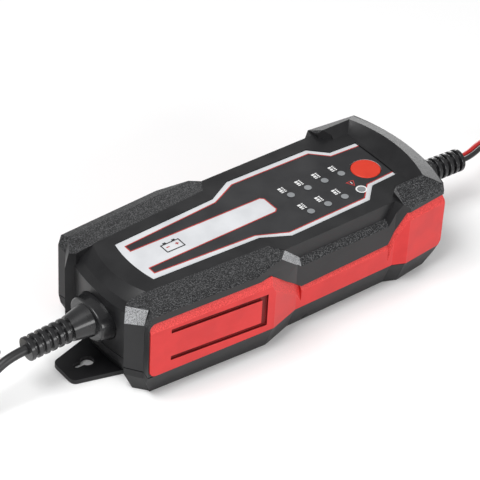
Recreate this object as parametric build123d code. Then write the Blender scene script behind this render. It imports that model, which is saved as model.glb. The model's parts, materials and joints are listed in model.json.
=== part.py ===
from build123d import *
from math import cos, pi, radians, sin, tan
import os

# Car battery charger, 6/12 V.  Millimetres.  X runs along the case from the mains end (-X) to the
# battery end (+X), Y across it, Z up.  The origin is the middle of the case's underside.

# ---- overall case -------------------------------------------------------------------------------
body_length = 189.2        # corner posts at the mains end to the crown of the collar
body_width = 83.2          # over the two side panels at the widest place
deck_height = 50.6         # flat top of the case
seam_height = 14.0         # joint between the upper and the lower shell
wall = 2.4                 # moulded wall
side_wall = 3.9            # side wall behind the panels
fit_gap = 0.2              # clearance around anything that drops into a pocket
label_thickness = 0.3
label_depth = 0.9          # recess in the deck for the label

left_x = -body_length / 2
right_x = body_length / 2

# ---- left block, measured from the mains end and from the middle plane --------------------------
panel_proud = 0.6          # how far a panel's face stands out of the case side
panel_depth = 2.0          # pocket depth in the case side
half_widest = body_width / 2 - panel_proud
post_inner_y = 24.2
post_outer_y = 32.0
post_length = 5.6
flank_front_x = left_x + 4.8
flank_taper = 4.0          # the left block is this much narrower at its mains end, each side
step_x = -14.0             # where the left block's ridge stops
step_run = 17.0            # length of the diagonal that leads in to the waist
waist_inset = 5.0          # the waist is this much narrower, each side
ridge_edge_y = 37.0        # outer edge of the textured ridge at the step
ridge_drop = 0.5
hood_drop = 1.6
deck_edge_y = 26.0         # inner edge of the ridge at the step
deck_edge_taper = 4.6
end_wall_setback = 1.8     # crown of the curved end wall behind the posts' faces
end_half_width = 20.9

# ---- waist --------------------------------------------------------------------------------------
waist_deck_y = 32.7
ledge_height = 42.0
ledge_drop = 3.2
ledge_width = 3.9
ramp_run = 15.4
ramp_drop = 12.0

# ---- right block and collar, measured from the battery end --------------------------------------
shoulder_length = 33.8
shoulder_y = 37.2
shoulder_end_y = 34.5
crest_y = 28.3
collar_rise = 4.6
collar_crown = 9.2         # crest line behind the crown of the collar
collar_corner = 14.7
outer_corner = 6.8
dish_end = 19.0
dish_half_width = 23.6
pale_facet_run = 6.8
right_flare = 2.8          # the right block stands this far outside the waist, each side
right_taper = 2.4          # and is this much narrower at the battery end

# ---- lower shell --------------------------------------------------------------------------------
foot_inset = 4.8
corner_break = 9.6
tab_reach = 17.6
tab_root_half = 14.0
tab_tip_half = 8.2
tab_thickness = 2.4
key_hole_radius = 3.3
key_hole_back = 13.8       # keyhole's round end from the tab's tip
key_slot_width = 3.4
key_slot_length = 5.8
seam_line = 0.5            # height of the shadow line at the seam
seam_line_depth = 0.7

# ---- side panels --------------------------------------------------------------------------------
panel_top = 45.0           # top edge of the panels on the two blocks
panel_waist_top = 26.4     # and along the waist
panel_bevel = 4.6
panel_bevel_in = 1.7
groove_width = 2.4
groove_depth = 1.4
groove_slot_width = 3.4    # the groove's broad upright end

# ---- label, indicators and button ---------------------------------------------------------------
label_left = 20.5          # label's crown from the mains end
label_right = 20.7         # label's right edge from the battery end
led_pitch = 10.5
led_row_gap = 15.6
led_columns = 4
led_window_radius = 1.9
led_last_x_back = 42.5     # last column of windows from the battery end
button_back = 30.0         # button centre from the battery end
button_y = -3.7
button_radius = 7.5
button_travel = 0.6
button_proud = 0.3
button_gap = 0.3

# ---- cable entries ------------------------------------------------------------------------------
gland_height = 27.5
gland_bore = 6.8           # radius
seat_back = 3.4            # flange seats from the ends of the case
seat_half_width = 14.5
seat_half_height = 11.0
flange_half_width = 13.2
flange_half_height = 9.8
flange_thickness = 7.8
boot_cone_length = 9.8
boot_root_radius = 8.8
boot_tip_radius = 6.0
boot_core_radius = 4.6
boot_droop = 3.0           # degrees
rib_count = 6
rib_pitch = 3.9
rib_thickness = 2.3

mains_cord_diameter = 4.8
battery_lead_width = 5.6

# ---- screws and bosses --------------------------------------------------------------------------
boss_radius = 3.6
tower_radius = 4.8
standoff_radius = 3.0
screw_radius = 1.4
screw_head_radius = 2.7
screw_head_height = 2.0
screw_bore_radius = 1.7
head_bore_radius = 3.2
head_seat = 7.0            # height of the housing screws' heads in the lower shell
screw_reach = 14.0         # thread in the upper shell's bosses
end_screw_back = 22.0
end_screw_y = 24.0
board_thickness = 1.6
main_board_height = 8.0
board_end_gap = 26.6       # main board's ends from the ends of the case
board_half_width = 21.0
display_board_top = 41.2
display_board_half = 20.0
deck_wall = 1.9


# =================================== helpers =====================================================
def prism(points, low, high):
    """An upright prism on a closed outline."""
    return extrude(Plane.XY.offset(low) * make_face(Polyline(*points, close=True)), high - low)


def mirrored(points):
    """A full outline from its -Y half, listed from the mains end to the battery end."""
    return list(points) + [(x, -y) for x, y in reversed(points)]


def below(body, a, b, c):
    """What is left of a body under the plane through three points."""
    normal = (Vector(*b) - Vector(*a)).cross(Vector(*c) - Vector(*a))
    if normal.Z < 0:
        normal = normal * -1
    return split(body, bisect_by=Plane(origin=a, z_dir=normal), keep=Keep.BOTTOM)


def below_both(body, a, b, c):
    """The same cut on both flanks."""
    body = below(body, a, b, c)
    flip = [(p[0], -p[1], p[2]) for p in (a, b, c)]
    return below(body, *flip)


def box(x0, x1, y0, y1, z0, z1):
    return Pos((x0 + x1) / 2, (y0 + y1) / 2, (z0 + z1) / 2) * Box(x1 - x0, y1 - y0, z1 - z0)


def upright(x, y, z0, z1, radius):
    return Pos(x, y, (z0 + z1) / 2) * Cylinder(radius, z1 - z0)


def along_x(x0, x1, y, z, radius):
    return Pos((x0 + x1) / 2, y, z) * Rot(0, 90, 0) * Cylinder(radius, x1 - x0)


def arc_section(height, side_x, side_y, tip_x, tip_y, crown_x):
    """A flat section that is closed by an arc towards the case's end."""
    run = [Line((tip_x, tip_y), (side_x, side_y)), Line((side_x, side_y), (side_x, -side_y)),
           Line((side_x, -side_y), (tip_x, -tip_y))]
    arc = ThreePointArc((tip_x, -tip_y), (crown_x, 0), (tip_x, tip_y))
    return Plane.XY.offset(height) * make_face(Curve() + run + arc)


def stack(sections):
    """A straight-sided solid through flat sections, lowest first."""
    solids = [loft([sections[i], sections[i + 1]], ruled=True) for i in range(len(sections) - 1)]
    body = solids[0]
    for solid in solids[1:]:
        body = body + solid
    return body


# =================================== case outline ================================================
step_corner_x = step_x - 6.0
waist_left_x = step_corner_x + step_run
waist_y = half_widest - waist_inset
right_block_x = right_x - shoulder_length + 3.6
waist_right_x = right_block_x - pale_facet_run
flank_right_x = right_x - outer_corner
right_y = waist_y + right_flare
right_end_y = right_y - right_taper

flank = [(flank_front_x, -(half_widest - flank_taper)), (step_corner_x, -half_widest),
         (waist_left_x, -waist_y), (waist_right_x, -waist_y), (right_block_x, -right_y),
         (flank_right_x, -right_end_y)]


def case_section(height, inset=0.0, end_inset=0.0):
    """The case's outline at one height, drawn in by an inset at the flanks and the ends."""
    side = [(x, y + inset) for x, y in flank]
    side[0] = (side[0][0] + end_inset, side[0][1])
    side[-1] = (side[-1][0] - end_inset, side[-1][1])
    wall_x = left_x + end_wall_setback
    post = [(wall_x + 2.3 + end_inset, -end_half_width),
            (left_x + end_inset, -post_inner_y - 0.24 * end_inset),
            (left_x + post_length + end_inset, -post_outer_y)]
    half = post + side
    edges = [Line(a, b) for a, b in zip(half, half[1:])]
    edges += [Line((a[0], -a[1]), (b[0], -b[1])) for a, b in zip(half, half[1:])]
    edges.append(ThreePointArc((half[0][0], -half[0][1]), (wall_x + end_inset, 0), half[0]))
    edges.append(ThreePointArc(half[-1], (right_x - end_inset, 0), (half[-1][0], -half[-1][1])))
    return Plane.XY.offset(height) * make_face(Curve() + edges)


# =================================== upper shell =================================================
def end_wall():
    """The curved, stepped end between the corner posts."""
    inner = left_x + 24
    crown = left_x + end_wall_setback
    half = end_half_width + 0.2
    return stack([
        arc_section(seam_height, inner, half, crown + 2.2, half, crown),
        arc_section(ledge_height, inner, half, crown + 1.8, half, crown - 0.2),
        arc_section(46.0, inner, half, left_x + 6.8, half, left_x + 4.1),
        arc_section(deck_height, inner, half, left_x + 13.8, half, left_x + 9.5),
    ])


def left_block():
    """The broad block at the mains end, with its ridges, hoods and corner posts."""
    ridge_z = deck_height - ridge_drop
    hood_z = deck_height - hood_drop
    deck_left = (left_x + 13.8, -(deck_edge_y - deck_edge_taper), deck_height)
    deck_right = (step_x + 0.6, -deck_edge_y, deck_height)
    ridge_left = (left_x + 8.2, -(ridge_edge_y - flank_taper), ridge_z)
    ridge_right = (step_x, -ridge_edge_y, ridge_z)
    hood_left = (flank_front_x, -(half_widest - flank_taper), hood_z)
    post_low = deck_height - 10.3
    inner_low = (left_x, -post_inner_y, post_low)
    outer_low = (left_x + post_length, -post_outer_y, post_low + 1.4)
    inner_high = (left_x + 3.3, -post_inner_y - 1.7, deck_height - 1.1)
    ramp_start = (step_x + 5.1, -waist_deck_y, deck_height - 0.2)
    ramp_foot = (step_x + ramp_run - 1.1, -waist_deck_y - 1.9, ridge_z - ramp_drop + 1.9)
    ramp_end = (step_x + ramp_run, -ridge_edge_y + 0.9, ridge_z - ramp_drop - 1.0)
    core_y = post_outer_y + 1.0

    core = prism(mirrored([(left_x + 13.8, -core_y), (step_x + ramp_run, -core_y)]),
                 seam_height, deck_height)
    core = below_both(core, deck_left, deck_right, ridge_left)
    posts = []
    for side in (1, -1):
        outline = [(left_x, -post_inner_y), (left_x + post_length, -post_outer_y),
                   (left_x + 16, -core_y), (left_x + 16, -end_half_width),
                   (left_x + end_wall_setback + 2.3, -end_half_width)]
        post = prism([(x, side * y) for x, y in outline], seam_height, deck_height)
        for trio in ((deck_left, deck_right, ridge_left), (deck_left, inner_high, ridge_left),
                     (inner_low, outer_low, ridge_left)):
            post = below(post, *[(p[0], side * p[1], p[2]) for p in trio])
        posts.append(post)
    pods = []
    for side in (1, -1):
        outline = [(left_x + post_length, -post_outer_y), flank[0], flank[1], flank[2],
                   (step_x + ramp_run, -waist_y), (step_x + ramp_run, -post_outer_y)]
        pod = prism([(x, side * y) for x, y in outline], seam_height, deck_height)
        shoulder_left = (flank_front_x, -(half_widest - flank_taper), hood_z - 5)
        cuts = ((deck_left, deck_right, ridge_left), (deck_left, inner_high, ridge_left),
                (ridge_left, ridge_right, hood_left), (ridge_left, shoulder_left, outer_low))
        for trio in cuts:
            pod = below(pod, *[(p[0], side * p[1], p[2]) for p in trio])
        pods.append(pod)
    block = core + posts[0] + posts[1] + pods[0] + pods[1]
    margin = ((step_corner_x + waist_left_x) / 2, -(half_widest + waist_y) / 2, 37.6)
    block = below_both(block, ramp_start, ridge_right, ramp_foot)
    return below_both(block, ridge_right, ramp_end, margin)


def waist_block():
    """The narrow middle: a full-height core with a textured ledge below it on each side."""
    diagonal_x = step_x + 5.1
    end_x = waist_right_x + 4.0
    core = prism(mirrored([(step_x - 16, -deck_edge_y + 2), (step_x + 0.6, -deck_edge_y),
                           (diagonal_x, -waist_deck_y), (end_x, -waist_deck_y)]),
                 seam_height, deck_height)
    shelf = prism(mirrored([(step_corner_x, -waist_y), (end_x, -waist_y)]),
                  seam_height, ledge_height)
    top = ((0, -waist_deck_y, ledge_height), (10, -waist_deck_y, ledge_height),
           (0, -waist_deck_y - ledge_width, ledge_height - ledge_drop))
    return core + below_both(shelf, *top)


def right_block():
    """The full-width block at the battery end, with the raised collar around its top."""
    shoulder_x = right_x - shoulder_length
    corner_x = right_x - outer_corner
    crest_x = right_x - collar_corner
    crest_z = deck_height + collar_rise
    crest_left = (shoulder_x + 1.8, -crest_y, crest_z)
    shoulder_left = (shoulder_x, -shoulder_y, deck_height)
    shoulder_right = (corner_x, -shoulder_end_y, deck_height)
    hood_right = (right_block_x, -right_y, deck_height - 3.2)
    deck_corner = (shoulder_x - 2.5, -30.5, deck_height)

    half = [(waist_right_x - 4, -waist_y), (waist_right_x, -waist_y), (right_block_x, -right_y),
            (flank_right_x, -right_end_y)]
    edges = [Line(a, b) for a, b in zip(half, half[1:])]
    edges += [Line((a[0], -a[1]), (b[0], -b[1])) for a, b in zip(half, half[1:])]
    edges.append(Line(half[0], (half[0][0], -half[0][1])))
    edges.append(ThreePointArc(half[-1], (right_x, 0), (half[-1][0], -half[-1][1])))
    body = extrude(Plane.XY.offset(seam_height) * make_face(Curve() + edges),
                   deck_height - seam_height)
    body = below_both(body, shoulder_left, shoulder_right, hood_right)
    ledge_end = (waist_right_x - 4.1, -waist_y, ledge_height - ledge_drop + 0.5)
    body = below_both(body, shoulder_left, deck_corner, ledge_end)

    collar = loft([arc_section(deck_height, shoulder_x, shoulder_y, corner_x, shoulder_end_y,
                               right_x),
                   arc_section(crest_z, shoulder_x, crest_y, crest_x, crest_y - 0.1,
                               right_x - collar_crown)], ruled=True)
    foot_x = right_x - dish_end
    dish = loft([arc_section(deck_height, shoulder_x - 20, dish_half_width, foot_x, dish_half_width,
                             foot_x + 0.3),
                 arc_section(crest_z, shoulder_x - 20, crest_y - 0.05, crest_x, crest_y - 0.15,
                             right_x - collar_crown - 0.1)], ruled=True)
    half_collar = split(collar - dish, bisect_by=Plane.XZ, keep=Keep.TOP)
    inner_corner = (shoulder_x + 5.5, -dish_half_width - 1.6, deck_height)
    half_collar = below(half_collar, shoulder_left, deck_corner, crest_left)
    lead_in = half_collar & box(shoulder_x - 5, inner_corner[0], -50, 0, 0, 90)
    lead_in = below(lead_in, deck_corner, inner_corner, crest_left)
    half_collar = (half_collar & box(inner_corner[0], right_x + 5, -50, 0, 0, 90)) + lead_in
    return body + half_collar + mirror(half_collar, about=Plane.XZ)


def label_outline(grow=0.0):
    """The label's outline: narrow at the mains end, broad under the indicators, notched."""
    crown_x = left_x + label_left - grow
    end_x = right_x - label_right + grow
    half = [(crown_x + 1.9, -15.6 - grow), (step_x + 0.9, -18.4 - grow),
            (step_x + 14.9, -25.7 - grow), (end_x - 24.3, -24.8 - grow),
            (end_x - 15.8, -16.5 - grow), (end_x, -15.7 - grow)]
    edges = [Line(a, b) for a, b in zip(half, half[1:])]
    edges += [Line((a[0], -a[1]), (b[0], -b[1])) for a, b in zip(half, half[1:])]
    edges.append(ThreePointArc((half[0][0], -half[0][1]), (crown_x, 0), half[0]))
    edges.append(ThreePointArc(half[-1], (end_x + 0.4, 0), (half[-1][0], -half[-1][1])))
    return make_face(Curve() + edges)


led_last_x = right_x - led_last_x_back
led_places = [(led_last_x - led_pitch * column, row)
              for column in range(led_columns) for row in (0.0, -led_row_gap)]
button_x = right_x - button_back
label_floor = deck_height - label_depth
label_top = label_floor + label_thickness
deck_underside = label_floor - deck_wall
waist_screw_y = waist_deck_y - wall - 2.7
housing_screw_places = [(x, side * y) for side in (1, -1)
                        for x, y in ((left_x + end_screw_back, end_screw_y),
                                     (step_x + 22.0, waist_screw_y),
                                     (right_x - end_screw_back, end_screw_y))]


def panel_face(grow=0.0):
    """The side panel's elevation, drawn on the XZ plane."""
    left = flank_front_x + 0.6 - grow
    right = flank_right_x + 1.0 + grow
    top = panel_top + grow
    waist_top = panel_waist_top + grow
    low = seam_height + fit_gap - grow
    points = [(left, low), (left, top), (step_corner_x - 1.5, top), (waist_left_x + 3.2, waist_top),
              (waist_right_x - 3.4, waist_top + 1.4), (right_block_x - 1.6, top),
              (right - 1.2, top), (right, top - 3.6), (right, low + 2.4), (right - 1.6, low)]
    face = make_face(Polyline(*points, close=True))
    corners = [v for v in face.vertices() if abs(v.X - left) < 0.01]
    return fillet(corners, 3.4 + grow)


def side_strip(inner, outer, side):
    """A strip of plan area that follows the flank, between two offsets from it."""
    near = [(x, y - outer) for x, y in flank]
    near[0] = (near[0][0] - 1, near[0][1])
    near[-1] = (near[-1][0] + 2.0, near[-1][1])
    far = [(x, y - inner) for x, y in flank]
    far[0] = (far[0][0] - 1, far[0][1])
    far[-1] = (far[-1][0] + 2.0, far[-1][1])
    points = near + list(reversed(far))
    return prism([(x, side * y) for x, y in points], seam_height - 3, deck_height + 3)


def side_block(face, side):
    """A panel elevation carried through the whole flank."""
    return extrude(Plane.XZ.offset(0) * face, amount=60 * side)


peg_radius = 1.5
panel_peg_places = [(left_x + 26, 38.0), (step_corner_x - 14, 38.0), (waist_left_x + 26, 20.5),
                    (right_x - 20, 38.0)]


def flank_y(x):
    """Distance of the flank from the middle plane at one place along the case."""
    for (x0, y0), (x1, y1) in zip(flank, flank[1:]):
        if x0 <= x <= x1:
            return -(y0 + (y1 - y0) * (x - x0) / (x1 - x0))
    return half_widest


def peg(x, z, side, radius, outer, inner):
    y = flank_y(x)
    return Pos(x, -side * (y - (outer + inner) / 2), z) * Rot(90, 0, 0) * Cylinder(radius, inner - outer)


def hollow():
    """The space inside the upper shell."""
    top = deck_underside
    room = prism(mirrored([(left_x + 7.5, -18.0), (left_x + 14, -28.5), (step_x - 4, -29.5),
                           (step_x + 8, -waist_deck_y + wall),
                           (right_x - shoulder_length - 3, -waist_deck_y + wall),
                           (right_x - 13, -26.0), (right_x - seat_back - 4.0, -13)]), seam_height, top - 3.4)
    upper = prism(mirrored([(left_x + 18, -17.5), (step_x, -21.0), (step_x + 10, -waist_deck_y + wall),
                            (right_x - 24, -waist_deck_y + wall), (right_x - 20, -22)]),
                  top - 3.5, top)
    for side in (1, -1):
        inner = [(x, y + side_wall) for x, y in flank]
        inner[0] = (inner[0][0] + 5, inner[0][1])
        inner[-1] = (inner[-1][0] - 4, inner[-1][1])
        pod = inner + [(inner[-1][0], -26.0), (inner[0][0], -26.0)]
        room = room + prism([(x, side * y) for x, y in pod], seam_height, panel_waist_top + 4)
        left = [(inner[0][0], inner[0][1]), (step_x - 6, inner[1][1] + 0.6), (step_x - 4, -27.0),
                (inner[0][0], -27.0)]
        room = room + prism([(x, side * y) for x, y in left], seam_height, panel_top - 2)
    return room + upper


def end_bore(side):
    """The boot's bore through one end wall, with the oval seat for its flange."""
    inner = side * (right_x - seat_back - 14)
    outer = side * (right_x + 3)
    bore = along_x(min(inner, outer), max(inner, outer), 0, gland_height, gland_bore)
    seat_plane = Plane(origin=(side * (right_x - seat_back), 0, gland_height), x_dir=(0, 1, 0),
                       z_dir=(side, 0, 0))
    return bore + extrude(seat_plane * Ellipse(seat_half_width, seat_half_height), seat_back + 3)


def upper_shell():
    body = end_wall() + left_block() + waist_block() + right_block()
    body = body - hollow()
    body = body - extrude(Plane.XY.offset(label_floor) * label_outline(fit_gap), label_depth + 8)
    for x, y in led_places:
        body = body - upright(x, y, deck_underside - 1, deck_height, led_window_radius + 0.1)
    body = body - upright(button_x, button_y, deck_underside - 1, deck_height,
                          button_radius + button_gap)
    for side in (1, -1):
        body = body - (side_strip(-panel_depth, 6, side) & side_block(panel_face(fit_gap), side))
        for x, z in panel_peg_places:
            body = body - peg(x, z, side, peg_radius + 0.1, panel_depth - 1, side_wall + 1)
    for x, y in housing_screw_places:
        body = body + upright(x, y, seam_height, deck_underside + 0.2, boss_radius)
        body = body - upright(x, y, seam_height, seam_height + screw_reach + 2, screw_radius + 0.05)
    for x, y in display_screw_places:
        body = body + upright(x, y, display_board_top, deck_underside + 0.2, standoff_radius)
        body = body - upright(x, y, display_board_top, display_board_top + 5, 1.05)
    for side in (-1, 1):
        body = body - end_bore(side)
    return body


# =================================== lower shell =================================================
tab_tip_x = right_x + tab_reach
key_hole_x = tab_tip_x - key_hole_back
board_half_length = right_x - board_end_gap
board_top = main_board_height + board_thickness
board_screw_places = [(sx * (board_half_length - 5), sy * (board_half_width - 4))
                      for sx in (-1, 1) for sy in (-1, 1)]
display_left = led_last_x - led_pitch * led_columns + 1
display_right = button_x + button_radius + 7
display_screw_places = [(x, y) for x in (display_left + 4, display_right - 4)
                        for y in (4 - display_board_half, display_board_half - 4)]


def key_slot(side):
    """A keyhole: a round hole for the screw head, and a slot that runs outwards."""
    centre = side * key_hole_x
    slot_end = centre + side * key_slot_length
    hole = upright(centre, 0, -1, tab_thickness + 1, key_hole_radius)
    slot = box(min(centre, slot_end), max(centre, slot_end), -key_slot_width / 2,
               key_slot_width / 2, -1, tab_thickness + 1)
    return hole + slot + upright(slot_end, 0, -1, tab_thickness + 1, key_slot_width / 2)


def tab(side):
    """A fixing tab that carries on from the floor at one end."""
    outline = mirrored([(right_x - 10, -tab_root_half - 2), (tab_tip_x, -tab_tip_half)])
    plate = prism([(side * x, y) for x, y in outline], 0, tab_thickness)
    tips = [e for e in plate.edges().filter_by(Axis.Z) if abs(e.center().X) > tab_tip_x - 1]
    return fillet(tips, 3.4)


def gasket_ring(height, depth):
    """A closed loop that follows the case outline just inside the seam."""
    low = height - depth
    return extrude(case_section(low, 1.5, 1.5), depth) - extrude(case_section(low, 2.7, 2.7), depth)


def lower_shell():
    rim = seam_height - seam_line
    body = stack([case_section(0, foot_inset, 4.4), case_section(corner_break, 1.5, 0.2),
                  case_section(rim)])
    body = body + extrude(case_section(rim, seam_line_depth, seam_line_depth), seam_line)
    body = body + tab(-1) + tab(1)
    room = prism(mirrored([(left_x + 12, -22.0), (step_corner_x, -half_widest + foot_inset + 3.6),
                           (waist_left_x, -waist_y + foot_inset + 3.0),
                           (waist_right_x, -waist_y + foot_inset + 3.0),
                           (right_x - 14, -25.0), (right_x - 9.5, -14)]), wall, seam_height + 1)
    body = body - room
    for side in (-1, 1):
        body = body - key_slot(side) - end_bore(side)
    for x, y in housing_screw_places:
        body = body + upright(x, y, wall - 1, seam_height, tower_radius)
        body = body - upright(x, y, -1, seam_height + 1, screw_bore_radius)
        body = body - upright(x, y, -1, head_seat, head_bore_radius)
    for x, y in board_screw_places:
        body = body + upright(x, y, wall - 1, main_board_height, standoff_radius)
        body = body - upright(x, y, wall, main_board_height, 1.05)
    return body - gasket_ring(seam_height, 1.0)


# =================================== side panels =================================================
def bevel(piece, side, start, end, steep):
    """Lean a panel's top margin back along a line from start to end, each (x, top height)."""
    rows = []
    for x, z in (start, end):
        face_y = flank_y(x) + panel_proud
        rows.append((x, -side * face_y, z - panel_bevel * steep))
    back_y = flank_y(start[0]) + panel_proud - panel_bevel_in
    return below(piece, rows[0], rows[1], (start[0], -side * back_y, start[1]))


def groove_face():
    """The groove in a panel's broad end: two long lines and a short broad slot."""
    left = left_x + 16.6
    right = step_corner_x - 4.2
    high = make_face(Polyline((left, 36.2), (right, 34.2), (right, 34.2 + groove_width),
                              (left, 36.2 + groove_width), close=True))
    low = make_face(Polyline((left, 20.2), (right, 18.0), (right, 18.0 + groove_width),
                             (left, 20.2 + groove_width), close=True))
    slot_left = right - groove_slot_width
    slot = make_face(Polyline((slot_left, 18.0), (right, 18.0), (right, 35.0), (slot_left, 35.0),
                              close=True))
    return [high, low, slot]


def side_panel(side):
    """One moulded panel, 1 for the -Y side and -1 for the +Y side."""
    whole = side_strip(0.1 - panel_depth, panel_proud, side) & side_block(panel_face(), side)
    left_foot = (waist_left_x + 3.2, panel_waist_top)
    right_foot = (waist_right_x - 3.4, panel_waist_top + 1.4)
    big = 60
    left = whole & box(left_x - 5, left_foot[0], -big, big, 0, big)
    middle = whole & box(left_foot[0], right_foot[0], -big, big, 0, big)
    right = whole & box(right_foot[0], right_x + 5, -big, big, 0, big)
    left = bevel(left, side, (flank_front_x, panel_top), (step_corner_x - 1.5, panel_top), 1.0)
    left = bevel(left, side, (step_corner_x - 1.5, panel_top), (waist_left_x, panel_waist_top + 2.4),
                 1.25)
    middle = bevel(middle, side, left_foot, right_foot, 0.5)
    right = bevel(right, side, (waist_right_x, panel_waist_top + 8), (right_block_x - 1.6, panel_top),
                  1.25)
    right = bevel(right, side, (right_block_x, panel_top), (flank_right_x, panel_top), 1.0)
    panel = left + middle + right
    for face in groove_face():
        cutter = side_strip(panel_proud - groove_depth, 8, side) & side_block(face, side)
        panel = panel - cutter
    for x, z in panel_peg_places:
        panel = panel + peg(x, z, side, peg_radius, panel_depth - 0.6, side_wall + 0.5)
    return panel


# =================================== label, button and indicators ================================
cap_radius = button_radius
cap_top = deck_height - label_depth + label_thickness + button_proud
cap_flange_top = deck_underside - button_gap
cap_flange_low = cap_flange_top - 1.2
stem_low = cap_flange_low - 1.2
switch_top = stem_low - button_travel - 0.3
plunger_radius = 1.75


def label_overlay():
    """A thin film in the deck's recess, cut out for the windows and the button."""
    film = extrude(Plane.XY.offset(label_floor) * label_outline(), label_thickness)
    for x, y in led_places:
        film = film - upright(x, y, label_floor - 1, label_top + 1, led_window_radius)
    return film - upright(button_x, button_y, label_floor - 1, label_top + 1,
                          button_radius + button_gap)


def mode_button():
    """A round cap with a flange that keeps it under the deck, and a stem for the switch."""
    cap = upright(button_x, button_y, cap_flange_low, cap_top, cap_radius)
    cap = fillet(cap.edges().filter_by(GeomType.CIRCLE).sort_by(Axis.Z)[-1], 0.6)
    cap = cap + upright(button_x, button_y, cap_flange_low, cap_flange_top, cap_radius + 1.1)
    return cap + upright(button_x, button_y, stem_low, cap_flange_low, 2.2)


def switch_plunger():
    return upright(button_x, button_y, switch_top - 1.2, stem_low, plunger_radius)


def tact_switch():
    half = 3.1
    body = box(button_x - half, button_x + half, button_y - half, button_y + half,
               display_board_top, switch_top)
    well = switch_top - 1.2 - button_travel - 0.3
    return body - upright(button_x, button_y, well, switch_top, plunger_radius + 0.05)


def light_guide():
    """A clear strip with one round light pipe in each window."""
    low_y = -led_row_gap - 3
    plate = box(led_places[-1][0] - 2.3, led_last_x + 2.3, low_y, 3, deck_underside - 2.4,
                deck_underside - 0.1)
    for x, y in led_places:
        plate = plate + upright(x, y, deck_underside - 1, label_top, led_window_radius - 0.05)
    return plate


def indicator_leds():
    return [upright(x, y, display_board_top, deck_underside - 2.5, 1.5) for x, y in led_places]


# =================================== boards and what is on them ==================================
def display_board():
    board = box(display_left, display_right, -display_board_half, display_board_half,
                display_board_top - board_thickness, display_board_top)
    for x, y in display_screw_places:
        board = board - upright(x, y, display_board_top - 3, display_board_top + 1, 1.2)
    return board


def display_board_screws():
    under = display_board_top - board_thickness
    return [upright(x, y, under, display_board_top + 4, 1.0) +
            upright(x, y, under - 1.5, under, 2.0) for x, y in display_screw_places]


def main_board():
    board = box(-board_half_length, board_half_length, -board_half_width, board_half_width,
                main_board_height, board_top)
    for x, y in board_screw_places:
        board = board - upright(x, y, main_board_height - 1, board_top + 1, 1.2)
    return board


def main_board_screws():
    return [upright(x, y, main_board_height - 4.5, board_top, 1.0) +
            upright(x, y, board_top, board_top + 1.6, 2.0) for x, y in board_screw_places]


def housing_screws():
    """Six pan-head screws, driven from below."""
    screws = []
    for x, y in housing_screw_places:
        head = upright(x, y, head_seat - screw_head_height, head_seat, screw_head_radius)
        slot_low = head_seat - screw_head_height - 1
        head = head - box(x - 2, x + 2, y - 0.4, y + 0.4, slot_low, slot_low + 1.8)
        head = head - box(x - 0.4, x + 0.4, y - 2, y + 2, slot_low, slot_low + 1.8)
        screws.append(head + upright(x, y, head_seat, seam_height + screw_reach, screw_radius))
    return screws


def on_board(x, y, length, width, height, lift=0.0):
    low = board_top + lift
    return box(x - length / 2, x + length / 2, y - width / 2, y + width / 2, low, low + height)


def transformer_core():
    outer = on_board(0, 0, 30, 27, 24, 1)
    window = box(-9, 9, -14, 14, board_top + 5.5, board_top + 20.5)
    return outer - window + box(-4, 4, -13.5, 13.5, board_top + 5, board_top + 21)


def transformer_winding():
    outer = box(-8.6, 8.6, -16.5, 16.5, board_top + 5.9, board_top + 20.1)
    return outer - box(-4.2, 4.2, -13.7, 13.7, board_top + 5, board_top + 21)


def mains_capacitor():
    can = upright(-34.5, -4, board_top, board_top + 26, 7.4)
    return fillet(can.edges().filter_by(GeomType.CIRCLE).sort_by(Axis.Z)[-1], 1.2)


def output_capacitors():
    cans = []
    for y in (-8.5, 8.5):
        can = upright(38, y, board_top, board_top + 20, 5)
        cans.append(fillet(can.edges().filter_by(GeomType.CIRCLE).sort_by(Axis.Z)[-1], 0.8))
    return cans


def toroid(x, y, radius, hole, width):
    ring = Pos(x, y, board_top + radius + 0.4) * Rot(90, 0, 0) * Cylinder(radius, width)
    return ring - Pos(x, y, board_top + radius + 0.4) * Rot(90, 0, 0) * Cylinder(hole, width + 2)


def heatsink(x, reach):
    """A finned upright plate."""
    plate = on_board(x, 0, 3, 34, reach)
    for row in range(6):
        plate = plate + on_board(x + 4, -14 + 5.6 * row, 6, 1.2, reach)
    return plate


fuse_y = -12.0
fuse_height = board_top + 4.2


def fuse():
    tube = along_x(-60, -44, fuse_y, fuse_height, 2.2)
    caps = along_x(-62, -57, fuse_y, fuse_height, 2.6) + along_x(-47, -42, fuse_y, fuse_height, 2.6)
    return tube + caps


def fuse_clips():
    """Two spring clips that hold the fuse's caps."""
    clips = []
    for x in (-59.5, -44.5):
        clip = on_board(x, fuse_y, 3.4, 7.4, 5.6)
        clip = clip - along_x(x - 3, x + 3, fuse_y, fuse_height, 2.65)
        clips.append(clip)
    return clips


def board_link():
    """The pin strip that joins the two boards."""
    x = display_right - 18
    return box(x - 2, x + 2, 8, 14.6, board_top, display_board_top - board_thickness)


def inner_wire(points, radius):
    path = FilletPolyline(*points, radius=4)
    return sweep(Plane(origin=points[0], z_dir=path % 0) * Circle(radius), path=path)


def inner_wires(side, radius):
    """The two cores inside the case, from a boot's inner end to the main board."""
    start = side * boot_inner_x
    end = side * (board_half_length - 9)
    wires = []
    for way in (-1, 1):
        points = [(start, way * 1.6, gland_height), (start - side * 8, way * 1.6, gland_height),
                  (end, way * 6, board_top + 7), (end, way * 6, board_top)]
        wires.append(inner_wire(points, radius))
    return wires


# =================================== boots, cords, plug and connector ============================
seat_x = right_x - seat_back
boot_inner_x = seat_x - 6.3
flange_face_x = seat_x + flange_thickness
stem_length = boot_cone_length + rib_count * rib_pitch
boot_tip = Vector(flange_face_x + stem_length * cos(radians(boot_droop)), 0,
                  gland_height - stem_length * sin(radians(boot_droop)))
boot_way = Vector(cos(radians(boot_droop)), 0, -sin(radians(boot_droop)))


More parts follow.
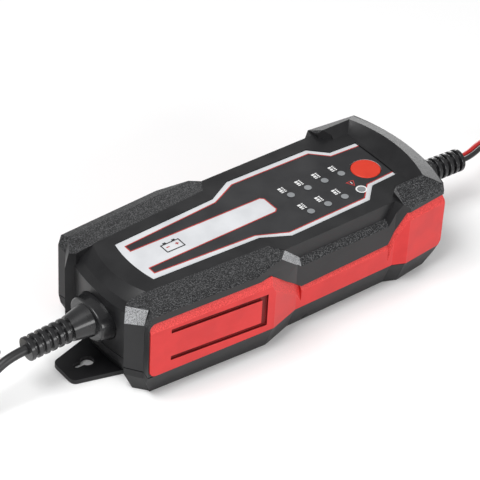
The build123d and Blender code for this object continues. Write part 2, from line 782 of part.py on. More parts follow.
def boot():
    """A rubber strain relief at the +X end: lock, neck, oval flange, cone and ribs."""
    lock = along_x(boot_inner_x, boot_inner_x + 2.1, 0, gland_height, gland_bore + 1.8)
    neck = along_x(boot_inner_x, seat_x + 1, 0, gland_height, gland_bore - 0.1)
    base = Plane(origin=(seat_x, 0, gland_height), x_dir=(0, 1, 0), z_dir=(1, 0, 0))
    front = Plane(origin=(flange_face_x, 0, gland_height), x_dir=(0, 1, 0), z_dir=(1, 0, 0))
    flange = loft([base * Ellipse(seat_half_width - 0.3, seat_half_height - 0.3),
                   front * Ellipse(flange_half_width, flange_half_height)])
    rim = flange.edges().filter_by(lambda e: e.center().X > flange_face_x - 0.1)
    flange = fillet(rim, 1.0)
    stem = Pos(boot_cone_length / 2 - 1, 0, 0) * Rot(0, 90, 0) * Cone(boot_root_radius,
                                                                     boot_tip_radius + 0.3,
                                                                     boot_cone_length + 2)
    stem = stem + along_x(0, stem_length, 0, 0, boot_core_radius)
    for rib in range(rib_count):
        low = boot_cone_length + rib_pitch * (rib + 1) - rib_thickness
        radius = boot_tip_radius + 0.25 * (rib_count - 1 - rib) / rib_count
        ring = along_x(low, low + rib_thickness, 0, 0, radius)
        stem = stem + fillet(ring.edges().filter_by(GeomType.CIRCLE), 0.5)
    return lock + neck + flange + Pos(flange_face_x, 0, gland_height) * Rot(0, boot_droop, 0) * stem


def turned(shape):
    """The same piece at the mains end."""
    return mirror(shape, about=Plane.YZ)


def cord_tube(points, radius, name):
    """Straight runs joined by arcs as large as their runs allow."""
    spots = [Vector(*p) for p in points]
    runs = [b - a for a, b in zip(spots, spots[1:])]
    radii = []
    for one, two in zip(runs, runs[1:]):
        half_turn = radians(one.get_angle(two)) / 2
        radii.append(0.45 * min(one.length, two.length) / tan(half_turn))
    path = FilletPolyline(*spots, radius=radii)
    tube = sweep(Plane(origin=spots[0], z_dir=runs[0]) * Circle(radius), path=path)
    print(name, "length", round(path.length, 1), "radii", [round(r) for r in radii],
          "volume ratio", round(tube.volume / (pi * radius ** 2 * path.length), 3))
    return tube


# the route points are (x beyond the boot's tip, y, z); the first run leaves along the boot
mains_first = 9.0
mains_route = [(18.3, 0.6, 21.2), (30.0, 2.8, 14.6), (44.0, 7.4, 7.6), (58.0, 14.0, 3.5),
               (72.0, 20.8, 2.6), (84.0, 25.4, 2.5), (95.0, 28.0, 2.5)]
lead_first = 7.0
lead_route = [(20.0, 4.4, 25.2), (32.4, 8.4, 21.6), (44.5, 10.6, 13.8), (56.4, 13.6, 7.0),
              (68.0, 19.0, 3.6), (80.0, 26.0, 2.9), (92.0, 30.0, 2.85)]


def route(side, first, points):
    """The full route from one boot's tip, at the +X end for side 1 and at the -X end for -1."""
    start = boot_tip
    second = boot_tip + boot_way * first
    spots = [(start.X, 0, start.Z), (second.X, 0, second.Z)]
    spots += [(boot_tip.X + x, y, z) for x, y, z in points]
    return [(side * x, side * y, z) for x, y, z in spots]


mains_coil_radius = 27.0
mains_coil_width = 3 * mains_cord_diameter
mains_coil_height = 3 * mains_cord_diameter
mains_coil_x = -boot_tip.X - mains_route[-1][0]
mains_coil_y = mains_coil_radius - mains_route[-1][1]
lead_coil_radius = 31.0
lead_coil_width = 2 * battery_lead_width
lead_coil_height = 8.4
lead_coil_x = boot_tip.X + lead_route[-1][0]
lead_coil_y = lead_route[-1][1] - lead_coil_radius


def coil(x, y, radius, width, height):
    """The outer shape of a neat round coil that lies on the table."""
    ring = upright(x, y, 0, height, radius + width / 2)
    ring = ring - upright(x, y, -1, height + 1, radius - width / 2)
    return fillet(ring.edges().filter_by(GeomType.CIRCLE), min(width, height) / 2.6)


def coil_tie(x, y, width, height, ring):
    """A strap over a coil's bundle."""
    strap = box(x - width / 2 - 0.9, x + width / 2 + 0.9, y - 4, y + 4, 0, height + 0.9)
    return strap - ring


plug_length = 36.0
plug_width = 35.0
plug_height = 13.7
plug_pin_gap = 18.6
plug_pin_length = 19.0
plug_tail = 14.0
plug_gap = 27.0            # plug's tail from the coil's tangent point
plug_side_step = 8.0
plug_y = mains_coil_y + mains_coil_radius + plug_side_step
plug_tail_x = mains_coil_x + plug_gap
plug_back_x = plug_tail_x + plug_tail
plug_axis = plug_height / 2


def mains_cord_tail():
    """The last of the mains cord, from its coil to the plug."""
    steps = [(-9, -9.6, 4.9), (-1, -7.6, 4.9), (8, -3.6, 5.4), (18, -0.8, 6.4),
             (plug_gap + 1, 0, plug_axis)]
    points = [(mains_coil_x + x, plug_y + y, z) for x, y, z in steps]
    return cord_tube(points, mains_cord_diameter / 2, "mains_cord_tail")


def mains_plug():
    """A flat two-pin plug, with its strain relief."""
    waist = plug_width - 9
    half = [(plug_back_x, -8.0), (plug_back_x + 6, -waist / 2), (plug_back_x + 18, -waist / 2),
            (plug_back_x + 27, -plug_width / 2 + 1.2), (plug_back_x + plug_length, -plug_width / 2)]
    body = prism([(x, plug_y + y) for x, y in mirrored(half)], 0, plug_height)
    body = fillet(body.edges().filter_by(Axis.Z), 2.0)
    rims = body.edges().filter_by(lambda e: abs(e.center().Z - plug_height / 2) > plug_height / 2 - 0.1)
    body = fillet(rims, 1.6)
    tail = Pos(plug_tail_x + plug_tail / 2 + 1, plug_y, plug_axis) * Rot(0, 90, 0)
    return body + tail * Cone(mains_cord_diameter / 2 + 0.7, 5.2, plug_tail + 2)


def mains_plug_pins():
    """Two round pins with sleeves at their roots."""
    face = plug_back_x + plug_length
    pins = []
    for way in (-1, 1):
        y = plug_y + way * plug_pin_gap / 2
        pin = along_x(face, face + plug_pin_length, y, plug_axis, 2.0)
        pins.append(fillet(pin.edges().filter_by(GeomType.CIRCLE).sort_by(Axis.X)[-1], 1.2))
    return pins


connector_length = 38.0
connector_width = 17.0
connector_height = 9.6
connector_gap = 24.0
connector_side_step = 6.0
connector_y = lead_coil_y - lead_coil_radius - connector_side_step
connector_tail_x = lead_coil_x - connector_gap
connector_back_x = connector_tail_x - 6.0
connector_face_x = connector_back_x - connector_length
connector_axis = connector_height / 2


def battery_lead_tail():
    steps = [(9, 7.4, 4.2), (1, 5.6, 4.2), (-8, 2.4, 4.4), (-16, 0.4, 4.6),
             (-connector_gap - 1, 0, connector_axis)]
    points = [(lead_coil_x + x, connector_y + y, z) for x, y, z in steps]
    return cord_tube(points, battery_lead_width / 2, "battery_lead_tail")


def lead_connector():
    """A two-pole quick connector: one shrouded contact and one bare one."""
    mid = connector_face_x + 12
    body = box(mid, connector_back_x, connector_y - connector_width / 2,
               connector_y + connector_width / 2, 0, connector_height)
    body = fillet(body.edges().filter_by(Axis.X), 2.2)
    shroud = along_x(connector_face_x, mid + 2, connector_y - 4.4, connector_axis, 3.9)
    stub = along_x(mid - 2, mid + 2, connector_y + 4.4, connector_axis, 3.6)
    sleeve = along_x(connector_tail_x - 7, connector_tail_x, connector_y, connector_axis, 3.6)
    body = body + shroud + stub + sleeve
    return body - along_x(connector_face_x - 1, mid + 1, connector_y - 4.4, connector_axis, 2.5)


def lead_connector_contacts():
    bullet = along_x(connector_face_x + 1, connector_face_x + 10, connector_y + 4.4, connector_axis,
                     2.1)
    bullet = fillet(bullet.edges().filter_by(GeomType.CIRCLE).sort_by(Axis.X)[0], 1.2)
    socket = along_x(connector_face_x + 3, connector_face_x + 13, connector_y - 4.4,
                     connector_axis, 2.45)
    socket = socket - along_x(connector_face_x, connector_face_x + 11, connector_y - 4.4,
                              connector_axis, 2.0)
    return [bullet, socket]


# =================================== files =======================================================
def save(name, shape):
    """Write one sub-part to its own STEP file."""
    if isinstance(shape, list):
        shape = Compound(children=shape)
    export_step(shape, f"parts/{name}.step")


os.makedirs("parts", exist_ok=True)

mains_ring = coil(mains_coil_x, mains_coil_y, mains_coil_radius, mains_coil_width,
                  mains_coil_height)
lead_ring = coil(lead_coil_x, lead_coil_y, lead_coil_radius, lead_coil_width, lead_coil_height)
right_boot = boot()

save("upper_shell", upper_shell())
save("lower_shell", lower_shell())
save("shell_gasket", gasket_ring(seam_height, 1.0))
save("side_panel_front", side_panel(1))
save("side_panel_back", side_panel(-1))
save("housing_screws", housing_screws())
save("label_overlay", label_overlay())
save("mode_button", mode_button())
save("switch_plunger", switch_plunger())
save("tact_switch", tact_switch())
save("light_guide", light_guide())
save("indicator_leds", indicator_leds())
save("display_board", display_board())
save("display_board_screws", display_board_screws())
save("main_board", main_board())
save("main_board_screws", main_board_screws())
save("board_link", board_link())
save("transformer_core", transformer_core())
save("transformer_winding", transformer_winding())
save("mains_capacitor", mains_capacitor())
save("output_capacitors", output_capacitors())
save("x_capacitor", on_board(-53, 12, 14, 7, 13))
save("line_choke", toroid(-52, -1, 8, 4, 7))
save("bridge_rectifier", on_board(-38, 14.5, 14, 4, 12))
save("output_inductor", toroid(52, 0, 8.5, 4, 8))
save("primary_heatsink", heatsink(-24.5, 22))
save("power_transistor", on_board(-28.3, 11, 4.4, 10, 15))
save("output_heatsink", heatsink(21.5, 22))
save("output_diode", on_board(17.6, 0, 4.4, 10, 15))
save("fuse", fuse())
save("fuse_clips", fuse_clips())
save("mains_wires", inner_wires(-1, 1.1))
save("battery_wires", inner_wires(1, 1.3))
save("mains_boot", turned(right_boot))
save("lead_boot", right_boot)
save("mains_cord", cord_tube(route(-1, mains_first, mains_route), mains_cord_diameter / 2,
                             "mains_cord"))
save("mains_cord_coil", mains_ring)
save("mains_cord_tail", mains_cord_tail())
save("mains_plug", mains_plug())
save("mains_plug_pins", mains_plug_pins())
save("battery_lead", cord_tube(route(1, lead_first, lead_route), battery_lead_width / 2,
                               "battery_lead"))
save("battery_lead_coil", lead_ring)
save("battery_lead_tail", battery_lead_tail())
save("lead_connector", lead_connector())
save("lead_connector_contacts", lead_connector_contacts())
save("coil_ties", [coil_tie(mains_coil_x - mains_coil_radius, mains_coil_y, mains_coil_width,
                            mains_coil_height, mains_ring),
                   coil_tie(lead_coil_x + lead_coil_radius, lead_coil_y, lead_coil_width,
                            lead_coil_height, lead_ring)])
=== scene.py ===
# %% [markdown]
# # A car battery charger, dressed for the camera
# The charger is a long black plastic case with red side panels, a printed label, a cord at each
# end and one push button. Its solid parts come from the CAD frame, so every size here is real.
# This lesson gives those parts their finishes, softens their moulded edges, prints the label and
# lays the two cords.

# %% load the frame
import json
import math

import bmesh
import bpy
from mathutils import Matrix, Vector
from mathutils.geometry import tessellate_polygon

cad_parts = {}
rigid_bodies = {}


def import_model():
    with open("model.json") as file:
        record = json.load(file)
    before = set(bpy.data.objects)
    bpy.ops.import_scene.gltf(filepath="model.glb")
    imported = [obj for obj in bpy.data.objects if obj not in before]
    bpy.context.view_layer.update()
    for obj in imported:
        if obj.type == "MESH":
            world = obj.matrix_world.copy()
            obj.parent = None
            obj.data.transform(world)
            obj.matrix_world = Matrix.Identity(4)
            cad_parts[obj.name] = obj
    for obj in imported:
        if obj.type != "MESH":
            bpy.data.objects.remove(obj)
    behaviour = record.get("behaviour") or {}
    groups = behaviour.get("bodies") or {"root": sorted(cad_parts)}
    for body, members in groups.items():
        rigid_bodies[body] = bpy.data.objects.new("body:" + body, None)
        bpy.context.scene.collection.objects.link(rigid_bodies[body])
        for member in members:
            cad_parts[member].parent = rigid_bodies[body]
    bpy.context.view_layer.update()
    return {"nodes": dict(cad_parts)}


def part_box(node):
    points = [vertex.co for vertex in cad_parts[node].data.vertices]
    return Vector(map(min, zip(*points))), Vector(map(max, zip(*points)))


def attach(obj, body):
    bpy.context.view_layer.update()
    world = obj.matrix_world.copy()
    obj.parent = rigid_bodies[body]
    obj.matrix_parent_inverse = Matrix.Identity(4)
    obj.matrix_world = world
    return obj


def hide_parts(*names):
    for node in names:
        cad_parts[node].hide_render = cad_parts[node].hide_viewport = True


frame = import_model()
MM = 0.001


def added(name, data):
    """A new object in the scene."""
    thing = bpy.data.objects.new(name, data)
    bpy.context.scene.collection.objects.link(thing)
    return thing


# %% [markdown]
# ## The camera
# A long lens stands well back, so that the case's long edges stay nearly parallel. It looks down
# at about 38 degrees from the mains end's front corner, and is tipped a few degrees to one side.
# Three directions make its rotation matrix, which is easier to reason about than three angles.

# %% camera
azimuth = math.radians(39.22)
elevation = math.radians(38.01)
tip = math.radians(3.19)
camera_place = Vector((-556.2, -669.7, 711.2))
away = Vector((math.sin(azimuth) * math.cos(elevation), math.cos(azimuth) * math.cos(elevation),
               -math.sin(elevation)))
level = Vector((math.cos(azimuth), -math.sin(azimuth), 0))
over = level.cross(away)
right = level * math.cos(tip) + over * math.sin(tip)
up = over * math.cos(tip) - level * math.sin(tip)

lens = bpy.data.cameras.new("camera")
lens.sensor_width = 36
lens.lens = 170.9
lens.clip_start = 0.05
camera = added("camera", lens)
turn = Matrix((right, up, -away)).transposed().to_4x4()
camera.matrix_world = Matrix.Translation(camera_place * MM) @ turn
bpy.context.scene.camera = camera
print("camera at", [round(c, 3) for c in camera.location])

# %% [markdown]
# ## Floor and light
# A white table and soft boxes are how such tools are shown. The floor is one large plane, so no
# horizon shows. A broad box overhead gives the even top light, a second one in front lights the
# red side, and a long low one lights the edges from behind, beyond the battery end.

# %% floor
def plain_material(name, colour, roughness):
    """A new material with its main shader ready to use."""
    material = bpy.data.materials.new(name)
    material.use_nodes = True
    shader = material.node_tree.nodes["Principled BSDF"]
    shader.inputs["Base Color"].default_value = (*colour, 1)
    shader.inputs["Roughness"].default_value = roughness
    return material


floor_mesh = bpy.data.meshes.new("floor")
reach = 3.0
floor_gap = 0.0002
corners = [(-reach, -reach, 0), (reach, -reach, 0), (reach, reach, 0), (-reach, reach, 0)]
floor_mesh.from_pydata(corners, [], [(0, 1, 2, 3)])
floor = added("floor", floor_mesh)
floor.location.z = -floor_gap
floor_mesh.materials.append(plain_material("white_table", (0.94, 0.94, 0.94), 0.75))

# %% lights
def soft_box(name, place, aim, wide, tall, watts):
    """A rectangular lamp that faces a point."""
    lamp = bpy.data.lights.new(name, "AREA")
    lamp.shape = "RECTANGLE"
    lamp.size = wide
    lamp.size_y = tall
    lamp.energy = watts
    box = added(name, lamp)
    box.location = place
    box.rotation_euler = (Vector(aim) - Vector(place)).to_track_quat("-Z", "Y").to_euler()


soft_box("overhead_box", (-0.50, -0.05, 1.05), (0, 0, 0.03), 0.7, 0.5, 10)
soft_box("front_box", (0.10, -1.2, 0.45), (0, 0, 0.02), 0.8, 0.4, 7.5)
soft_box("edge_box", (1.10, 0.90, 0.16), (0.05, 0, 0.05), 1.0, 0.22, 6)
world = bpy.data.worlds.new("studio")
world.use_nodes = True
world.node_tree.nodes["Background"].inputs["Color"].default_value = (1, 1, 1, 1)
world.node_tree.nodes["Background"].inputs["Strength"].default_value = 0.44
bpy.context.scene.world = world
bpy.context.scene.view_settings.view_transform = "Standard"

# %% [markdown]
# ## How a moulded surface is made
# Plastic is never one flat colour. A mould leaves a fine grain, handling polishes some of it, and
# dust dulls the rest. Three ingredients give that: a broad noise that shifts the colour a little,
# the same noise turned into roughness, and a fine noise that becomes bump. Object coordinates keep
# the grain the same size on every part, because all parts share one frame in metres.

# %% a helper for grained finishes
def grained(name, dark, light, rough, grain_size, grain_height, coat=0.0, patch_size=12.0,
            edges=(0.35, 0.65)):
    """A moulded finish: two close shades, a roughness range, and grain of a real size in mm."""
    material = plain_material(name, light, rough[1])
    nodes = material.node_tree.nodes
    links = material.node_tree.links
    shader = nodes["Principled BSDF"]
    place = nodes.new("ShaderNodeTexCoord")
    patches = nodes.new("ShaderNodeTexNoise")
    patches.inputs["Scale"].default_value = 1000 / patch_size
    patches.inputs["Detail"].default_value = 4
    links.new(place.outputs["Object"], patches.inputs["Vector"])
    shades = nodes.new("ShaderNodeValToRGB")
    shades.color_ramp.elements[0].position = edges[0]
    shades.color_ramp.elements[0].color = (*dark, 1)
    shades.color_ramp.elements[1].position = edges[1]
    shades.color_ramp.elements[1].color = (*light, 1)
    links.new(patches.outputs["Fac"], shades.inputs["Fac"])
    links.new(shades.outputs["Color"], shader.inputs["Base Color"])
    polish = nodes.new("ShaderNodeMapRange")
    polish.inputs["From Min"].default_value = 0.3
    polish.inputs["From Max"].default_value = 0.7
    polish.inputs["To Min"].default_value = rough[0]
    polish.inputs["To Max"].default_value = rough[1]
    links.new(patches.outputs["Fac"], polish.inputs["Value"])
    links.new(polish.outputs["Result"], shader.inputs["Roughness"])
    grain = nodes.new("ShaderNodeTexNoise")
    grain.inputs["Scale"].default_value = 1000 / grain_size
    grain.inputs["Detail"].default_value = 2
    links.new(place.outputs["Object"], grain.inputs["Vector"])
    bump = nodes.new("ShaderNodeBump")
    bump.inputs["Strength"].default_value = 1.0
    bump.inputs["Distance"].default_value = grain_height * MM
    links.new(grain.outputs["Fac"], bump.inputs["Height"])
    links.new(bump.outputs["Normal"], shader.inputs["Normal"])
    shader.inputs["Coat Weight"].default_value = coat
    shader.inputs["Specular IOR Level"].default_value = 0.36
    return material


# %% [markdown]
# ## Blacks and reds
# Most of the case has a fine satin grain. The raised bands, the ledges and the shoulders have a
# coarse grain that glitters, and the lower shell is plainer. Moulded edges are smoother and are
# painted a little lighter, as a painted highlight. The red panels are the same plastic in red,
# etched along their top edges. Their groove floors are painted darker, as painted shade, and the
# front corner post's facet and the front ramp are painted paler, as a painted highlight where the
# light falls on them. Their grooves are darker, and the front corner post's facet and the front
# ramp are paler, because the photograph shows them so. That may be only the light there. The
# button is a warmer red.

# %% case finishes
satin_black = grained("satin_black", (0.008, 0.008, 0.009), (0.013, 0.013, 0.014), (0.30, 0.40),
                      0.45, 0.008)
coarse_black = grained("coarse_black", (0.006, 0.006, 0.007), (0.122, 0.124, 0.127), (0.34, 0.60),
                       0.60, 0.075, patch_size=0.55, edges=(0.47, 0.70))
# painted highlight: a pale black for the two front facets that face the light
painted_highlight_black = grained("painted_highlight_black", (0.12, 0.12, 0.125), (0.46, 0.47, 0.48), (0.38, 0.60), 0.60,
                     0.060, patch_size=0.5, edges=(0.36, 0.64))
base_black = grained("base_black", (0.006, 0.006, 0.007), (0.010, 0.010, 0.011), (0.42, 0.52), 0.45,
                     0.008)
# painted highlight: a lighter black for the bevelled edges
edge_highlight_black = grained("edge_highlight_black", (0.035, 0.035, 0.037), (0.070, 0.070, 0.073), (0.24, 0.34), 0.45,
                     0.004)
# painted highlight: a lighter red for the bevelled edges of the red panels
edge_highlight_red = grained("edge_highlight_red", (0.62, 0.040, 0.038), (0.72, 0.060, 0.055), (0.26, 0.36), 0.45,
                   0.004)
panel_red = grained("panel_red", (0.52, 0.019, 0.019), (0.59, 0.026, 0.025), (0.34, 0.44), 0.40,
                    0.006)
etched_red = grained("etched_red", (0.46, 0.018, 0.018), (0.76, 0.062, 0.056), (0.36, 0.50), 0.50,
                     0.020, patch_size=0.5)
# painted shade: a dark red for the groove floors
painted_shade_red = grained("painted_shade_red", (0.10, 0.004, 0.004), (0.16, 0.006, 0.006), (0.5, 0.6), 0.40,
                     0.006)
button_red = grained("button_red", (0.62, 0.034, 0.014), (0.70, 0.045, 0.020), (0.34, 0.42), 0.30,
                     0.006)
print("finishes:", [m.name for m in bpy.data.materials])

# %% [markdown]
# ## Soft moulded edges
# A CAD edge is perfectly sharp, and a sharp edge catches no light. A real moulding has a small
# radius on every edge. The part from the frame is copied, its flat facets are joined back into
# whole faces, and a bevel rounds the edges between them and gives them a lighter finish, a painted
# highlight along each edge. The copy then stands for the CAD part.

# %% a helper for softened copies
def softened(node, name, radius, edge_highlight_finish, corner_angle=12.0):
    """A copy of a CAD part with its edges rounded, ready for its finishes."""
    source = frame["nodes"][node]
    mesh = source.data.copy()
    mesh.name = name
    mesh.materials.clear()
    work = bmesh.new()
    work.from_mesh(mesh)
    bmesh.ops.remove_doubles(work, verts=work.verts, dist=2e-6)
    bmesh.ops.dissolve_limit(work, angle_limit=math.radians(0.6), verts=work.verts,
                             edges=work.edges)
    work.to_mesh(mesh)
    work.free()
    piece = added(name, mesh)
    bevel = piece.modifiers.new("edge_radius", "BEVEL")
    bevel.width = radius * MM
    bevel.segments = 2
    bevel.limit_method = "ANGLE"
    bevel.angle_limit = math.radians(corner_angle)
    bevel.use_clamp_overlap = True
    # the bevel faces take the edge finish, a painted highlight along each edge
    bevel.material = edge_highlight_finish
    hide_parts(node)
    return piece


def bake_modifiers(piece):
    """Turn a piece's modifiers into its mesh."""
    depsgraph = bpy.context.evaluated_depsgraph_get()
    made = bpy.data.meshes.new_from_object(piece.evaluated_get(depsgraph))
    piece.modifiers.clear()
    piece.data = made


def shade_smooth(piece, angle=9.0):
    """Smooth shading that stays crisp at a crease and where one finish meets another."""
    mesh = piece.data
    for polygon in mesh.polygons:
        polygon.use_smooth = True
    mesh.set_sharp_from_angle(angle=math.radians(angle))
    work = bmesh.new()
    work.from_mesh(mesh)
    for edge in work.edges:
        if len({face.material_index for face in edge.link_faces}) > 1:
            edge.smooth = False
    work.to_mesh(mesh)
    work.free()


# %% [markdown]
# ## Which faces are coarse
# The mould maker etches only some faces. A face belongs to the coarse set by where it lies and
# which way it looks: the flat raised bands beside the deck, the ledges in the waist, the ramps,
# the shoulders of the collar and the small facets on the corner posts.

# %% choose the coarse faces
case_low, case_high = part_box("upper_shell")
collar_rise = 4.6 * MM
collar_length = 35.5 * MM
deck_z = case_high[2] - collar_rise
collar_start = case_high[0] - collar_length
post_end = case_low[0] + 9 * MM
post_foot = deck_z - 11 * MM
post_side = 23 * MM
ramp_start, ramp_end = -16 * MM, 6 * MM


def is_coarse(centre, normal):
    """True where the mould is etched."""
    x, y, z = centre
    side = abs(y)
    facing = normal.z
    if facing < 0.25:
        return x < post_end and z > post_foot and side > post_side and facing > 0.1
    band = x < -12 * MM and side > 24 * MM and z > deck_z - 1.2 * MM and 0.9 < facing < 0.9998
    ramp = ramp_start < x < ramp_end and side > 30 * MM and facing > 0.5 and z < deck_z - 1 * MM
    ledge = 0 < x < collar_start + 4 * MM and side > 32.5 * MM and facing > 0.5 and z > 36 * MM
    outward = normal.x > 0.25 or normal.y * y > 0.25 * side or side > 30 * MM
    shoulder = x > collar_start and outward and z > deck_z - 8 * MM and 0.4 < facing < 0.99
    post = x < post_end and side > post_side and z > post_foot
    return band or ramp or ledge or shoulder or post


def is_painted_highlight(centre, normal):
    """True on the two front facets that get a painted highlight: a post's and the ramp's."""
    front = -32.5 * MM < centre.y < -post_side
    corner = centre.x < post_end and front and centre.z > post_foot
    ramp = ramp_start < centre.x < ramp_end and centre.y < -30 * MM and centre.z < deck_z - 2 * MM
    return (corner and 0.1 < normal.z < 0.6) or (ramp and 0.5 < normal.z < 0.85 and normal.x > 0.4)


def finish_shell(piece):
    """Give the upper shell its blacks."""
    for finish in (satin_black, coarse_black, painted_highlight_black, edge_highlight_black):
        piece.data.materials.append(finish)
    count = 0
    for polygon in piece.data.polygons:
        # painted highlight: the two lit front facets get the pale black
        if is_painted_highlight(polygon.center, polygon.normal):
            polygon.material_index = 2
        elif is_coarse(polygon.center, polygon.normal):
            polygon.material_index = 1
            count += 1
    return count


# %% the case
upper = softened("upper_shell", "upper_case", 0.45, 3)
coarse_count = finish_shell(upper)
lower = softened("lower_shell", "lower_case", 0.35, 1)
lower.data.materials.append(base_black)
lower.data.materials.append(edge_highlight_black)
for shell in (upper, lower):
    bake_modifiers(shell)
    shade_smooth(shell)
    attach(shell, "charger")
print("upper case faces:", len(upper.data.polygons), "coarse:", coarse_count)

# %% [markdown]
# ## The red panels
# Each panel is one moulding that is pressed into a pocket of the case. Its top edge leans back and
# is etched. A groove runs round its broad end, and the groove's floor is painted a darker red, as
# painted shade.

# %% the red panels
groove_x = (-79, -23)
groove_z = (17, 39.5)
groove_floor = 0.55
panel_taper, taper_start, taper_run = 4.0, -20, 70


def panel_finish(centre, normal, half_width):
    """Which red a face gets: 0 plain, 1 etched, 2 painted shade down in the groove."""
    x, y, z = (c / MM for c in centre)
    outer = half_width - panel_taper * max(0.0, taper_start - x) / taper_run
    in_groove = groove_x[0] < x < groove_x[1] and groove_z[0] < z < groove_z[1]
    if in_groove and abs(y) < outer - groove_floor:
        return 2
    return 1 if 0.12 < normal.z < 0.95 else 0


for node in ("side_panel_front", "side_panel_back"):
    panel = softened(node, node.replace("side_panel", "red_panel"), 0.5, 3)
    for finish in (panel_red, etched_red, painted_shade_red, edge_highlight_red):
        panel.data.materials.append(finish)
    half_width = max(abs(corner[1]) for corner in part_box(node)) / MM
    for polygon in panel.data.polygons:
        polygon.material_index = panel_finish(polygon.center, polygon.normal, half_width)
    bake_modifiers(panel)
    shade_smooth(panel)
    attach(panel, "charger")
    print(panel.name, "faces:", len(panel.data.polygons))

# %% [markdown]
# ## The cords
# A cord is a fixed length of something flexible. Its line is one NURBS spline through chosen
# points, so it bends like a cable and not like bent wire. The part that isn't in use is wound in
# a neat coil with a tie. The turns are worked out by a loop: each turn is a ring of points, and
# the turns lie beside and on each other, one cord's thickness apart.

# %% helpers for cords
def cord_line(name, points):
    """An open NURBS curve whose control points are given in millimetres."""
    curve = bpy.data.curves.new(name, "CURVE")
    curve.dimensions = "3D"
    spline = curve.splines.new("NURBS")
    spline.points.add(len(points) - 1)
    for spot, point in zip(spline.points, points):
        spot.co = (point[0] * MM, point[1] * MM, point[2] * MM, 1)
    spline.order_u = 3
    spline.use_endpoint_u = True
    curve.resolution_u = 6
    return added(name, curve)


def coil_turns(centre, start, slots, last_part):
    """Control points of a clockwise coil: each turn has its own (radius, height) slot."""
    steps = 14
    change_from = 0.7
    points = []
    for step in range(int((len(slots) - 1 + last_part) * steps) + 1):
        turn = step // steps
        share = max(0.0, (step % steps) / steps - change_from) / (1 - change_from)
        near = slots[turn]
        far = slots[min(turn + 1, len(slots) - 1)]
        radius = near[0] + (far[0] - near[0]) * share
        height = near[1] + (far[1] - near[1]) * share
        angle = math.radians(start) - 2 * math.pi * step / steps
        points.append((centre[0] + radius * math.cos(angle), centre[1] + radius * math.sin(angle),
                       height))
    return points


# %% [markdown]
# ## The mains cord
# It leaves its strain relief almost level, droops to the table and runs to its coil beyond the
# mains end. It is a two-core cord, 4.8 mm thick and 1.36 m long, with a flat two-pin plug on
# its end. Black PVC has a soft, slightly uneven shine.

# %% mains cord
cord_black = grained("cord_black", (0.018, 0.018, 0.019), (0.028, 0.028, 0.029), (0.34, 0.50), 1.2,
                     0.03)
mains_radius = 2.4
mains_route = [(-132.25, 0.0, 25.76), (-141.24, 0.0, 25.29), (-150.55, -0.6, 21.2),
               (-162.25, -2.8, 14.6), (-176.25, -7.4, 7.6), (-190.25, -14.0, 3.5),
               (-204.25, -20.8, 2.6), (-216.25, -27.4, 2.5)]
mains_slots = [(31.6, 2.45), (26.9, 2.45), (22.2, 2.45), (22.2, 7.2), (26.9, 7.2), (24.6, 11.7),
               (29.4, 11.7), (31.6, 7.2)]
mains_turns = coil_turns((-227.25, -1.0), -90, mains_slots, 0.5)
mains_tail = [(-218.25, 30.4, 6.4), (-208.0, 32.6, 6.2), (-199.25, 34.0, 6.8)]
mains_line = cord_line("mains_flex", mains_route + mains_turns + mains_tail)
mains_line.data.bevel_depth = mains_radius * MM
mains_line.data.bevel_resolution = 5
mains_line.data.use_fill_caps = True
mains_line.data.materials.append(cord_black)
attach(mains_line, "charger")
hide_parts("mains_cord", "mains_cord_coil", "mains_cord_tail")
print("mains cord control points:", len(mains_line.data.splines[0].points))

# %% [markdown]
# ## The battery lead
# Low-voltage leads are flat twin wire: a red core and a black core joined side by side. A round
# bevel can't show that, so a mesh tube is swept twice along one line, once for each core. The
# points come from the same kind of NURBS line, and a level side vector keeps the twin flat.

# %% battery lead
lead_red = grained("lead_red", (0.42, 0.012, 0.012), (0.52, 0.020, 0.018), (0.28, 0.40), 1.0, 0.02,
                   coat=0.15)
lead_black = grained("lead_black", (0.016, 0.016, 0.017), (0.024, 0.024, 0.025), (0.28, 0.40), 1.0,
                     0.02, coat=0.15)
lead_core_radius = 1.4
lead_route = [(132.25, 0.0, 25.76), (139.25, 0.0, 25.39), (152.25, 4.4, 25.4), (164.65, 8.4, 21.6),
              (176.75, 10.6, 13.8), (188.65, 13.6, 6.6), (200.25, 19.0, 2.6), (212.25, 27.6, 1.5)]
lead_slots = [(33.6, 1.45), (28.2, 1.45), (28.2, 4.25), (28.2, 7.0), (33.6, 4.25)]
lead_turns = coil_turns((224.25, -1.0), 90, lead_slots, 0.5)
lead_tail = [(215.25, -35.2, 4.4), (208.0, -37.4, 4.6), (199.3, -38.0, 4.8)]
lead_line = cord_line("lead_line", lead_route + lead_turns + lead_tail)


def points_of(line):
    """Points along a curve that has no bevel."""
    mesh = bpy.data.meshes.new_from_object(line)
    points = [v.co.copy() for v in mesh.vertices]
    bpy.data.meshes.remove(mesh)
    return points


